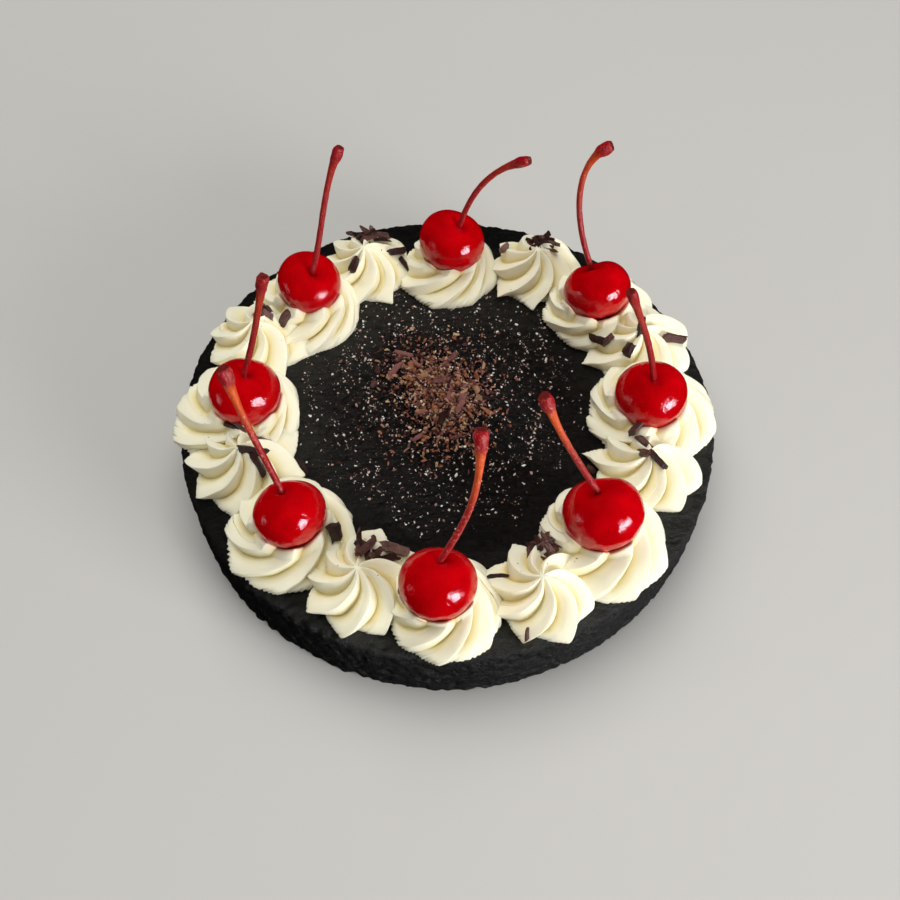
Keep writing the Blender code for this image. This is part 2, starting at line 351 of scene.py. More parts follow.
# The ring as piped, anticlockwise from the right: angle in degrees, distance from the
# ring's centre and radius in mm, and the angle of one crest at the foot. The 1st, 3rd,
# 5th... carry the cherries.
ROSETTES = (
    (0.0, 58.7, 19.3, 20),
    (22.0, 61.5, 16.8, 16),
    (39.0, 60.8, 17.7, 11),
    (63.0, 61.8, 15.4, 38),
    (90.0, 54.6, 15.8, 26),
    (115.2, 61.3, 15.0, 30),
    (139.3, 58.2, 17.8, 6),
    (156.0, 62.4, 15.4, 28),
    (181.6, 60.8, 18.3, 27),
    (198.4, 59.4, 15.8, 35),
    (223.6, 58.3, 17.4, 36),
    (247.0, 59.0, 14.8, 26),
    (268.7, 60.4, 15.6, 39),
    (292.0, 61.2, 14.4, 22),
    (313.1, 58.6, 17.6, 20),
    (340.0, 57.8, 15.4, 28),
)


def between(before, start, end, after, share):
    """A smooth curve's value between start and end, for one number of a level."""
    slope_in = (end - before) / 2
    slope_out = (after - start) / 2
    rest = 1 - share
    return (start * (1 + 2 * share) * rest * rest + slope_in * share * rest * rest
            + end * share * share * (3 - 2 * share) - slope_out * share * share * rest)


def finer_levels(levels):
    rows = []
    for k in range(len(levels) - 1):
        before = levels[max(k - 1, 0)]
        after = levels[min(k + 2, len(levels) - 1)]
        for step in range(RINGS_PER_LEVEL):
            share = step / RINGS_PER_LEVEL
            rows.append(tuple(
                between(a, b, c, d, share)
                for a, b, c, d in zip(before, levels[k], levels[k + 1], after)
            ))
    return rows + [levels[-1]]


def wander(*key):
    """A steady number from -1 to 1 that belongs to this petal of this rosette."""
    return random.Random(repr(key)).uniform(-1.0, 1.0)


def petal_profile(steep):
    """One petal from its crest anticlockwise: its share, how deep its skin lies below the
    crest, and how far its outline is drawn in from the tip."""
    profile = []
    for k in range(FLANK_STEPS):
        fall = k / FLANK_STEPS
        profile.append((steep * fall, 0.18 * fall + 0.82 * fall ** 1.7, fall ** 0.9))
    for k in range(FACE_STEPS):
        rise = k / FACE_STEPS
        along = steep + (1 - steep) * (0.8 * rise + 0.2 * math.sin(rise * math.pi / 2))
        profile.append((along, 1 - 0.18 * rise - 0.82 * math.sin(rise * math.pi / 2), 1 - rise))
    return profile


def star_ring(number, radius, level, start, full_turn, broad, inward):
    """The places (in metres, from the rosette's axis) of one ring, their depths, and how strongly each
    groove is painted with shade.
    """
    height, share, groove, progress, drop = level
    ring = []
    low = math.exp(-((height - 1.0) / 1.2) ** 2)
    torn = math.exp(-((height - 1.0) / 1.4) ** 2)
    for lobe in range(LOBES):
        steep = STEEP_SHARE + 0.11 * wander(number, lobe, "steep")
        for along, depth, indent in petal_profile(steep):
            petal = (lobe + 1) % LOBES if along > 0.6 else lobe
            leaf = 1 + 0.05 * wander(number, petal, "size") * (1 - depth)
            deeper = groove * (1 + 0.20 * wander(number, lobe, "groove"))
            drift = 0.07 * wander(number, petal, "drift") * (1 - depth)
            angle = start + full_turn * progress + (lobe + along + drift) * math.tau / LOBES
            reach = radius * share * leaf * (1 - deeper * indent)
            if not broad:
                reach *= 1 + 0.13 * low * (1 - indent) ** 2 * max(0.0, math.cos(angle - inward))
            tooth = 1.0 if len(ring) % 3 else 0.0
            patchy = 0.55 + 0.45 * wander(number, len(ring) // 3, "tooth")
            reach -= (TEAR if broad else 0.4 * TEAR) * torn * tooth * patchy
            sunk = drop * depth * (1 + 0.18 * wander(number, lobe, "drop"))
            place = Vector((reach * math.cos(angle), reach * math.sin(angle), (height - sunk) * MM))
            # The last number caps how strongly this ring's grooves are painted with shade.
            ring.append((place, depth, drop / 2))
    return ring


def softened(place, number):
    """The small lumps and sags of whipped cream."""
    shift = noise.noise_vector(place / (6.5 * MM) + Vector((number * 9.0, 0.0, 0.0))) * 0.42
    shift += noise.noise_vector(place / (2.6 * MM) + Vector((0.0, number * 7.0, 0.0))) * 0.10
    return place + shift * MM


def pipe_rosette(number, row, levels, full_turn, lean, cup):
    """Extrudes the nozzle's star upwards, ring by ring, then closes foot and top."""
    angle, distance, radius, start = row
    turn = math.radians(angle)
    centre = RING_CENTRE + Vector((math.cos(turn), math.sin(turn), 0.0)) * distance * MM
    centre.z = CAKE_HEIGHT
    rings = [
        star_ring(number, radius * MM, level, math.radians(start), full_turn, bool(cup),
                  turn + math.pi)
        for level in finer_levels(levels)
    ]
    leans = [lean * level[3] for level in finer_levels(levels)]
    if cup:
        for share in (0.3, 0.55, 0.8):
            rings.append([
                (low[0] + (high[0] - lean - low[0]) * share
                 + Vector((0.0, 0.0, 0.6 * MM * math.sin(share * math.pi))), low[1], low[2])
                for low, high in zip(rings[len(leans) - 1], cup[0])
            ])
        leans += [lean] * 3 + [Vector()] * len(cup)
        rings += cup
    piece = start_piece(
        bpy.ops.mesh.primitive_circle_add,
        vertices=LOBES * (FLANK_STEPS + FACE_STEPS), radius=radius * MM, location=centre,
    )
    apply_place()
    bpy.ops.object.mode_set(mode="EDIT")
    shape = bmesh.from_edit_mesh(piece.data)
    around = shape.verts.layers.int.new("around")
    shape.verts.layers.float.new("fold")
    for k, vert in enumerate(sorted(shape.verts, key=lambda v: v.index)):
        vert[around] = k
    bmesh.update_edit_mesh(piece.data)
    for number_up, (ring, shift) in enumerate(zip(rings, leans)):
        if number_up:
            bpy.ops.mesh.extrude_edges_move()
        shape = bmesh.from_edit_mesh(piece.data)
        around = shape.verts.layers.int["around"]
        fold = shape.verts.layers.float["fold"]
        for vert in shape.verts:
            if vert.select:
                place, depth, deepness = ring[vert[around]]
                vert.co = softened(centre + shift + place, number)
                # Painted shade: each vertex keeps how deep in a groove it lies, so the cream is painted
                # darker yellow there.
                vert[fold] = depth * min(1.0, deepness)
        bmesh.update_edit_mesh(piece.data)
    bpy.ops.mesh.merge(type="CENTER")
    select_where(piece.data, "EDGE", lambda e: e.is_boundary)
    bpy.ops.mesh.edge_face_add()
    close_up(piece.data)
    bpy.ops.object.mode_set(mode="OBJECT")
    bpy.ops.object.shade_smooth()
    return piece


def cherry_place(number):
    """A cherry's middle and its half width, from the frame."""
    low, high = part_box(f"cherry_{number}")
    middle = (low + high) / 2
    middle.z = CAKE_HEIGHT + CHERRY_LIFT
    return middle, max(high.x - low.x, high.y - low.y) / 2


def cherry_cup(number, row, middle, half_width):
    """Rings that press a broad rosette's petals up against its cherry and in under it."""
    angle, distance, radius, start = row
    turn = math.radians(angle)
    centre = RING_CENTRE + Vector((math.cos(turn), math.sin(turn), 0.0)) * distance * MM
    lean = Vector((middle.x - centre.x, middle.y - centre.y, 0.0))
    rings = []
    # Each ring: how far out it lies as a share of the cherry, less in the grooves, how far
    # it stands off the cherry's skin, and how much the crests are squeezed up there.
    for share, groove, off, squeeze in ((0.975, 0.08, 0.3, 0.5), (0.95, 0.09, -0.05, 0.5),
                                        (0.90, 0.10, -0.4, 0.3), (0.80, 0.11, -0.6, 0.0),
                                        (0.55, 0.10, -0.5, 0.0), (0.30, 0.0, -0.5, 0.0)):
        ring = []
        for lobe in range(LOBES):
            for along, depth, indent in petal_profile(STEEP_SHARE):
                petal = (lobe + 1) % LOBES if along > 0.6 else lobe
                blunt = (1 - depth) ** 1.2 * (1 + 0.6 * wander(number, petal, "blunt"))
                angle = math.radians(start) + TURN_TO_CHERRY + (lobe + along) * math.tau / LOBES
                reach = share * (1 - groove * depth)
                under = CHERRY_LIFT - half_width * CHERRY_FLATNESS * math.sqrt(1 - min(0.99, reach) ** 2)
                spread = reach * half_width + max(0.0, off + 0.4 * squeeze * blunt) * MM
                height = under + (squeeze * blunt - 0.5 * off) * MM
                place = Vector((spread * math.cos(angle), spread * math.sin(angle), height)) + lean
                # The 0.6 sets how strongly these grooves are painted with shade.
                ring.append((place, depth, 0.6))
        rings.append(ring)
    return rings


CHERRY_LIFT = 13.0 * MM         # a cherry's middle above the cake
CHERRY_FLATNESS = 0.88


def cream_finish():
    finish = Finish("whipped_cream", {
        "Subsurface Weight": 0.25,
        "Subsurface Radius": (1.0, 0.72, 0.38),
        "Subsurface Scale": 1.2 * MM,
        "Specular IOR Level": 0.25,
    })
    attribute = "ShaderNodeAttribute"
    # Painted shade: the cream is painted darker yellow deep in the grooves between the petals, where
    # shade falls.
    fold = finish.node(attribute, {"attribute_name": "fold"}, {}, "Fac")
    # The cream is painted pink right where it touches a cherry.
    stain = finish.node(attribute, {"attribute_name": "stain"}, {}, "Fac")
    cloudy = finish.grain(7 * MM, detail=2.0)
    fine = finish.grain(0.55 * MM, detail=3.0, roughness=0.6)
    plain = finish.blend(cloudy, (0.93, 0.885, 0.665), (0.95, 0.92, 0.75))
    with_fold_shade = finish.blend(0.85 * fold ** 2.2, plain, (0.74, 0.60, 0.20))
    finish.varies(
        Base_Color=finish.blend(stain, with_fold_shade, (0.84, 0.26, 0.14)),
        Roughness=0.36 + 0.16 * fine,
        Normal=finish.relief(fine, 0.06 * MM, 0.55),
    )
    return finish.material


cream = cream_finish()
rosettes = []
for index, row in enumerate(ROSETTES):
    name = f"rosette_{index + 1:02d}"
    if index % 2 == 0:
        middle, half_width = cherry_place(index // 2 + 1)
        turn = math.radians(row[0])
        axis = RING_CENTRE + Vector((math.cos(turn), math.sin(turn), 0.0)) * row[1] * MM
        lean = Vector((middle.x - axis.x, middle.y - axis.y, 0.0))
        cup = cherry_cup(index, row, middle, half_width)
        piece = pipe_rosette(index, row, BROAD_LEVELS, TURN_TO_CHERRY, lean, cup)
        # Paints the cream pink where it lies within about a millimetre of its cherry.
        stain = piece.data.attributes.new("stain", "FLOAT", "POINT")
        for k, vert in enumerate(piece.data.vertices):
            apart = vert.co - middle
            apart.z /= CHERRY_FLATNESS
            stain.data[k].value = 0.55 * math.exp(-max(0.0, apart.length - half_width) / (0.45 * MM))
    else:
        piece = pipe_rosette(index, row, PEAK_LEVELS, TURN_TO_PEAK, Vector(), [])
        piece.data.attributes.new("stain", "FLOAT", "POINT")
    finished(piece, f"cream_{name}", cream, "cream", name)
    rosettes.append(piece)


# The cherries: eight cocktail cherries, preserved in red syrup, so they are glassy and
# bright, flattened, dimpled at the stem and a little puckered underneath.
# Each row: the lean of the stem end along x and y, how far the top is flattened, and how
# strongly the shoulders part into a heart.
CHERRIES = (
    (-0.11, -0.05, 0.00, 0.15),
    (-0.32, 0.50, 0.02, 1.75),
    (0.28, -0.11, 0.02, 0.20),
    (0.25, -0.25, 0.16, 0.10),
    (0.15, 0.05, 0.03, 0.15),
    (-0.19, 0.34, 0.00, 0.45),
    (0.08, 0.34, 0.02, 0.10),
    (-0.29, 0.25, 0.00, 0.90),
)
DIMPLE_DEPTH = 1.2 * MM
DIMPLE_RADIUS = 2.1 * MM
NOTCH = Vector((0.12, 0.80, 0.58)).normalized()    # where a heart's shoulders part


def cherry_finish():
    finish = Finish("syrup_cherry", {
        "Subsurface Weight": 0.45,
        "Subsurface Radius": (1.0, 0.04, 0.03),
        "Subsurface Scale": 4.0 * MM,
        "Specular IOR Level": 0.7,
        "Specular Tint": (1.0, 0.88, 1.0, 1.0),
        "IOR": 1.46,
    })
    mottle = finish.grain(5 * MM, detail=2.0)
    pores = finish.grain(0.55 * MM, detail=3.0, roughness=0.65)
    wrinkles = finish.grain(1.3 * MM, detail=1.5)
    finish.varies(
        Base_Color=finish.blend(finish.steps(mottle, (0.35, 0.0), (0.7, 1.0)),
                                (0.42, 0.0001, 0.0022), (0.54, 0.0003, 0.0036)),
        Roughness=0.05 + 0.06 * pores,
        Normal=finish.relief(0.3 * pores + wrinkles, 0.15 * MM, 1.0),
    )
    return finish.material


def shape_cherry(place, half, flattened, heart, number):
    """Moves a point of a ball to a cherry's skin; +Z is the stem end."""
    direction = place.normalized()
    turn = math.atan2(direction.y, direction.x)
    side = math.sqrt(max(0.0, 1 - direction.z ** 2))
    reach = half * (1 - flattened * max(0.0, direction.z) ** 3)
    reach *= 1 + 0.015 * math.sin(2 * turn + number) * side + 0.010 * math.sin(3 * turn) * side
    reach *= 1 - 0.13 * heart * math.exp(-(direction.angle(NOTCH) / 0.36) ** 2)
    moved = direction * reach
    moved.z *= CHERRY_FLATNESS
    across = moved.xy.length
    if moved.z > 0:
        wide = DIMPLE_RADIUS * (1 + 0.5 * heart)
        moved.z -= DIMPLE_DEPTH * (1 + 0.45 * heart) * math.exp(-(across / wide) ** 2)
    pucker = max(0.0, -direction.z - 0.15) * side
    moved *= 1 + 0.035 * pucker * math.sin(11 * turn + 2 * math.sin(3 * turn))
    return moved + noise.noise_vector(moved / (4 * MM) + Vector((number, 0, 0))) * 0.12 * MM


cherry_skin = cherry_finish()
cherry_axes = []
for number, (lean_x, lean_y, flattened, heart) in enumerate(CHERRIES, start=1):
    middle, half_width = cherry_place(number)
    axis = Vector((lean_x, lean_y, math.sqrt(1 - lean_x ** 2 - lean_y ** 2)))
    cherry_axes.append((middle, half_width, axis))
    upright = Vector((0.0, 0.0, 1.0)).rotation_difference(axis).to_matrix()
    piece = start_piece(bpy.ops.mesh.primitive_uv_sphere_add, segments=84, ring_count=56,
                        radius=half_width)
    for vert in piece.data.vertices:
        skin = shape_cherry(vert.co, half_width, flattened, heart, number)
        vert.co = middle + upright @ skin
    bpy.ops.object.mode_set(mode="EDIT")
    close_up(piece.data)
    bpy.ops.object.mode_set(mode="OBJECT")
    bpy.ops.object.shade_smooth()
    finished(piece, f"syrup_cherry_{number}", cherry_skin, "cherry", f"cherry_{number}")


# The stems: left on the cherries and dyed with them, thin and springy, knobbed where they
# were picked, with the open end of the stalk in the knob painted dark.
STEM_RADIUS = 0.85 * MM
STEM_FOOT = 0.62                # where it leaves the flesh, as a share of the half width
STEM_SIDES = 14
STEM_RINGS = 44
CLUB_START = 0.70
STEMS = (
    ((-2.7, 0.2, 12.4), (-7.4, -0.4, 23.4), (-12.3, -0.6, 34.8), 1.4, 0.15),
    ((-5.4, 5.1, 10.8), (-8.3, 14.1, 26.7), (2.6, 12.4, 33.0), 1.8, 0.55),
    ((3.1, 1.4, 12.1), (8.3, 0.4, 21.8), (18.6, -3.9, 27.8), 1.6, 0.15),
    ((4.1, 3.6, 12.2), (4.9, 7.9, 25.8), (10.5, 10.0, 36.1), 1.5, 0.10),
    ((4.2, 0.6, 11.7), (7.3, 1.1, 23.5), (10.2, 1.8, 35.5), 1.6, 0.30),
    ((-3.3, 3.7, 11.7), (-7.6, 7.3, 23.5), (-9.3, 11.3, 35.0), 1.9, 1.00),
    ((7.0, 5.8, 11.6), (9.2, 7.2, 20.5), (8.7, 15.1, 33.1), 1.8, 1.00),
    ((-6.1, 1.6, 10.7), (-11.8, 2.8, 21.3), (-16.1, 5.2, 32.9), 1.8, 0.95),
)


def stem_finish():
    finish = Finish("dyed_stem", {"Specular IOR Level": 0.6, "Subsurface Weight": 0.12,
                                  "Subsurface Scale": 1.0 * MM})
    along = finish.node("ShaderNodeAttribute", {"attribute_name": "along"}, {}, "Fac")
    fibres = finish.grain(1.1 * MM, scale=(1.0, 1.0, 0.3), detail=3.0)
    blotches = finish.grain(0.7 * MM, detail=3.0, roughness=0.7)
    place = along + 0.10 * fibres
    ripe = finish.node("ShaderNodeAttribute", {"attribute_name": "ripe"}, {}, "Fac")
    neck = ripe * finish.steps(place, (0.45, 0.0), (0.80, 1.0), (0.90, 1.0), (0.955, 0.0))
    dyed = finish.blend(neck, (0.33, 0.0006, 0.007), (0.66, 0.085, 0.008))
    flecks = finish.steps(blotches, (0.56, 0.0), (0.68, 0.55)) * (0.25 + 0.75 * ripe)
    flecked = finish.blend(flecks, dyed, (0.80, 0.30, 0.20))
    cut = finish.steps(along, (0.992, 0.0), (1.0, 1.0))
    finish.varies(
        Base_Color=finish.blend(cut, flecked, (0.16, 0.012, 0.010)),
        Roughness=0.22 + 0.25 * fibres,
        Normal=finish.relief(fibres + blotches, 0.35 * MM, 0.9),
    )
    return finish.material


def stem_thickness(along, club):
    """Slim most of the way, then a swelling neck and a rounded knob."""
    neck = min(1.0, max(0.0, (along - CLUB_START) / (0.88 - CLUB_START)))
    head = min(1.0, max(0.0, (along - 0.87) / 0.06))
    knob = STEM_RADIUS + (club - STEM_RADIUS) * (0.45 * neck ** 1.5 + 0.50 * head * (2 - head))
    tip = max(0.0, along - 0.955) / 0.045
    return knob * math.sqrt(max(0.0, 1 - 0.45 * tip ** 2))


stem_skin = stem_finish()
for number, (first, second, tip, club, orange) in enumerate(STEMS, start=1):
    middle, half_width, axis = cherry_axes[number - 1]
    foot = middle + axis * half_width * 0.80
    root = middle + axis * half_width * STEM_FOOT
    route = [foot + p for p in interpolate_bezier(
        Vector(), Vector(first) * MM, Vector(second) * MM, Vector(tip) * MM, STEM_RINGS)]
    route.insert(0, root)
    heading = (route[1] - route[0]).normalized()
    out = heading.orthogonal().normalized()
    piece = start_piece(bpy.ops.mesh.primitive_circle_add, vertices=STEM_SIDES, radius=STEM_RADIUS)
    bpy.ops.object.mode_set(mode="EDIT")
    shape = bmesh.from_edit_mesh(piece.data)
    around = shape.verts.layers.int.new("around")
    shape.verts.layers.float.new("along")
    shape.verts.layers.float.new("ripe")
    for k, vert in enumerate(sorted(shape.verts, key=lambda v: v.index)):
        vert[around] = k
    bmesh.update_edit_mesh(piece.data)
    last = len(route) - 1
    rings = [(route[k], k / last, 1.0) for k in range(last + 1)]
    rings += [(route[-1], 1.0, 0.78), (route[-1] - (route[-1] - route[-3]) * 0.5, 1.0, 0.62)]
    for step, (place, share, narrowing) in enumerate(rings):
        if step:
            bpy.ops.mesh.extrude_edges_move()
        if 0 < step <= last:
            heading = (route[min(step + 1, last)] - route[step - 1]).normalized()
            out = (out - heading * out.dot(heading)).normalized()
        across = heading.cross(out)
        thick = stem_thickness(share, club * MM) * narrowing
        shape = bmesh.from_edit_mesh(piece.data)
        around = shape.verts.layers.int["around"]
        reached = shape.verts.layers.float["along"]
        ripe = shape.verts.layers.float["ripe"]
        for vert in shape.verts:
            if vert.select:
                turn = math.tau * vert[around] / STEM_SIDES
                lumps = 0.08 + 0.26 * max(0.0, share - 0.8) / 0.2
                uneven = 1 + lumps * noise.noise(Vector((
                    1.6 * math.cos(turn), 1.6 * math.sin(turn), share * 18 + number * 4)))
                spread = (out * math.cos(turn) + across * math.sin(turn)) * thick * uneven
                vert.co = place + spread
                vert[reached] = share
                vert[ripe] = orange
        bmesh.update_edit_mesh(piece.data)
    bpy.ops.mesh.merge(type="CENTER")
    select_where(piece.data, "EDGE", lambda e: e.is_boundary)
    bpy.ops.mesh.edge_face_add()
    close_up(piece.data)
    bpy.ops.object.mode_set(mode="OBJECT")
    bpy.ops.object.shade_smooth()
    finished(piece, f"dyed_stem_{number}", stem_skin, "stem", f"stem_{number}")


# The grated chocolate: a loose low heap in the middle of the cake. It is splinters and
# gratings of dark and paler chocolate, grated straight on to it, over a thin dark core.
HEAP_LOW, HEAP_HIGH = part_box("chocolate_heap")
HEAP_MIDDLE = (HEAP_LOW + HEAP_HIGH) / 2
HEAP_RADIUS = (HEAP_HIGH.x - HEAP_LOW.x) / 2
SPLINTER_KINDS = 9
draws = random.Random(41)


def chocolate_finish(name, colours, roughness):
    """Chocolate whose pieces run through a few colours, by each piece's own tint."""
    finish = Finish(name, {"Specular IOR Level": 0.45})
    broken = finish.grain(0.6 * MM, detail=4.0, roughness=0.7)
    tint = finish.node("ShaderNodeAttribute", {"attribute_name": "tint"}, {}, "Fac")
    place = tint + 0.50 * broken - 0.25
    colour = colours[0]
    for k in range(1, len(colours)):
        reached = k / (len(colours) - 1)
        share = finish.steps(place, (reached - 0.6 / len(colours), 0.0), (reached, 1.0))
        colour = finish.blend(share, colour, colours[k])
    finish.varies(
        Base_Color=colour,
        Roughness=roughness + 0.25 * broken,
        Normal=finish.relief(broken, 0.40 * MM, 1.0),
    )
    return finish.material


def splinter_mesh(kind, draws, cuts, roughness):
    """One splinter of chocolate, a unit each way, with chipped ends and a slight curl."""
    piece = start_piece(bpy.ops.mesh.primitive_cube_add, size=1.0)
    bpy.ops.object.mode_set(mode="EDIT")
    for end in (-1, 1):
        slant = Vector((end, draws.uniform(-0.45, 0.45), draws.uniform(-0.35, 0.35)))
        bpy.ops.mesh.select_all(action="SELECT")
        bpy.ops.mesh.bisect(plane_co=(end * 0.42, 0.0, 0.0), plane_no=slant, use_fill=True,
                            clear_outer=True)
    for side in draws.sample((-1, 1, -1, 1), 3):
        slant = Vector((draws.uniform(-0.5, 0.5), side, draws.uniform(-1.2, 1.2))).normalized()
        bpy.ops.mesh.select_all(action="SELECT")
        bpy.ops.mesh.bisect(plane_co=slant * draws.uniform(0.36, 0.48), plane_no=slant,
                            use_fill=True, clear_outer=True)
    for k in range(cuts):
        bpy.ops.mesh.select_all(action="SELECT")
        bpy.ops.mesh.bisect(plane_co=(-0.36 + 0.72 * (k + 0.5) / cuts, 0.0, 0.0),
                            plane_no=(1.0, draws.uniform(-0.5, 0.5), draws.uniform(-0.5, 0.5)))
    for axis in ((0.0, 1.0, 0.0), (0.0, 0.0, 1.0)) if cuts > 3 else ():
        bpy.ops.mesh.select_all(action="SELECT")
        bpy.ops.mesh.bisect(plane_co=(0.0, 0.0, 0.0), plane_no=axis)
    close_up(piece.data)
    bpy.ops.object.mode_set(mode="OBJECT")
    curl = draws.uniform(-1.0, 1.0)
    for vert in piece.data.vertices:
        vert.co.z += curl * (vert.co.x ** 2 - 0.06)
        vert.co += noise.noise_vector(vert.co * 3.5 + Vector((kind * 5, 0, 0))) * roughness
    mesh = piece.data
    bpy.data.objects.remove(piece)
    return mesh


gratings = [splinter_mesh(kind, draws, 2, 0.10) for kind in range(SPLINTER_KINDS)]


def new_scatter():
    shape = bmesh.new()
    shape.verts.layers.float.new("tint")
    return shape


def add_splinter(shape, mesh, place, size, turn, tint):
    """Copies one splinter into a mesh being built, and notes its colour."""
    before = len(shape.verts)
    shape.from_mesh(mesh)
    shape.verts.ensure_lookup_table()
    layer = shape.verts.layers.float["tint"]
    move = Matrix.Translation(place) @ turn.to_4x4() @ Matrix.Diagonal((*size, 1.0))
    for vert in shape.verts[before:]:
        vert.co = move @ vert.co
        vert[layer] = tint


def scatter_piece(name, shape, material, *nodes):
    """Turns a mesh of many loose pieces into one finished piece."""
    bmesh.ops.recalc_face_normals(shape, faces=shape.faces)
    mesh = bpy.data.meshes.new(name)
    shape.to_mesh(mesh)
    shape.free()
    piece = bpy.data.objects.new(name, mesh)
    bpy.context.collection.objects.link(piece)
    finished(piece, name, material, "grated_chocolate", *nodes)


def any_turn(tumble):
    """A random turn: 0 lies level, 1 tumbles freely."""
    heading = Matrix.Rotation(draws.uniform(0, math.tau), 3, "Z")
    pitch = Matrix.Rotation(draws.gauss(0, 0.5 * tumble), 3, "Y")
    roll = Matrix.Rotation(draws.gauss(0, 0.8 * tumble), 3, "X")
    return heading @ pitch @ roll


def heap_height(place):
    """The heap's height above the cake there."""
    away = (place - HEAP_MIDDLE.xy).length / HEAP_RADIUS
    lumps = 1 + 0.5 * noise.noise(Vector((place.x, place.y, 0.0)) / (5 * MM))
    return 1.7 * MM * lumps * max(0.0, 1 - away ** 1.3)


def heap_place(spread):
    """A point in the heap, which trails towards the back left and the front."""
    trail = draws.random()
    drift = Vector((-7.0, 7.0)) if trail < 0.22 else Vector((1.0, -10.0 if trail < 0.5 else -1.5))
    away = Vector((draws.gauss(0, spread), draws.gauss(0, 1.15 * spread)))
    return HEAP_MIDDLE.xy + (drift + away) * MM


core = start_piece(bpy.ops.mesh.primitive_circle_add, vertices=64, radius=HEAP_RADIUS * 0.6,
                   fill_type="NGON", location=(*HEAP_MIDDLE.xy, CAKE_HEIGHT - 0.2 * MM))
apply_place()
bpy.ops.object.mode_set(mode="EDIT")
bpy.ops.mesh.extrude_region_move(TRANSFORM_OT_translate={"value": (0.0, 0.0, 0.3 * MM)})
for k in range(14):
    bpy.ops.mesh.inset(thickness=HEAP_RADIUS * 0.6 / 16)
bpy.ops.object.mode_set(mode="OBJECT")
for vert in core.data.vertices:
    if vert.co.z > CAKE_HEIGHT:
        edge = max(0.0, 1 - ((vert.co - HEAP_MIDDLE).xy.length / (HEAP_RADIUS * 0.6)) ** 2)
        lump = noise.noise(vert.co / (1.2 * MM)) * 0.35 * MM
        vert.co.z = CAKE_HEIGHT + (heap_height(vert.co.xy) * 0.6 + lump) * edge
bpy.ops.object.mode_set(mode="EDIT")
close_up(core.data)
bpy.ops.object.mode_set(mode="OBJECT")
grated = chocolate_finish("grated_chocolate", (
    (0.018, 0.008, 0.008), (0.075, 0.024, 0.022), (0.22, 0.085, 0.075), (0.33, 0.120, 0.055),
    (0.42, 0.235, 0.140), (0.64, 0.49, 0.27)), 0.30)
finished(core, "gratings_core", grated, "grated_chocolate")

# The splinters that lie on top: x, y, length and heading in degrees. Lengths in mm.
TOP_SPLINTERS = (
    (-13.2, 19.5, 5.2, -10), (-15.7, 13.3, 5.4, 55), (1.6, 17.9, 4.6, 60), (-2.0, 8.4, 5.0, 8),
    (4.4, 2.8, 5.0, 70), (10.2, 3.2, 4.4, -20), (-1.7, -4.2, 5.6, 84), (3.4, -0.4, 4.8, 62),
    (-7.7, -2.7, 3.6, 20), (-9.2, 14.9, 3.4, -30), (-5.9, 11.6, 3.0, 40), (2.3, -10.7, 3.4, 15),
    (-8.6, -10.7, 3.2, 35), (0.5, 3.5, 4.6, 75), (-11.8, 11.6, 2.8, 0), (6.0, -3.0, 3.4, -65),
)
shape = new_scatter()
for k, (x, y, length, heading) in enumerate(TOP_SPLINTERS):
    place = Vector((x, y)) * MM
    size = Vector((length * 1.1, length * draws.uniform(0.24, 0.38), draws.uniform(0.6, 1.0))) * MM
    turn = Matrix.Rotation(math.radians(heading), 3, "Z") @ Matrix.Rotation(draws.gauss(0, 0.2), 3, "Y")
    add_splinter(shape, gratings[k % SPLINTER_KINDS],
                 Vector((*place, CAKE_HEIGHT + heap_height(place) * 0.9 + 0.8 * MM)), size, turn,
                 draws.choice((0.10, 0.34, 0.42, 0.52, 0.66)))
for k in range(1500):
    place = heap_place(5.2 if k % 5 else 9.0)
    length = draws.uniform(0.45, 1.5) * (2.2 if k % 14 == 0 else 1.0)
    size = Vector((length * 1.25, length * draws.uniform(0.35, 0.8), draws.uniform(0.25, 0.6))) * MM
    rise = heap_height(place) * draws.uniform(0.3, 1.15) + 0.25 * MM
    add_splinter(shape, gratings[k % SPLINTER_KINDS], Vector((*place, CAKE_HEIGHT + rise)), size,
                 any_turn(1.3), draws.random())
scatter_piece("heap_gratings", shape, grated, "chocolate_heap")


# The flakes on the cream: bigger shards and curls of dark chocolate, dropped by hand in
# small piles on the pointed rosettes and singly round them.
skins = bmesh.new()
for piece in [*rosettes, cake]:
    skins.from_mesh(piece.data)
resting = BVHTree.FromBMesh(skins)
skins.free()
shards = [splinter_mesh(kind, draws, 6, 0.13) for kind in range(SPLINTER_KINDS)]

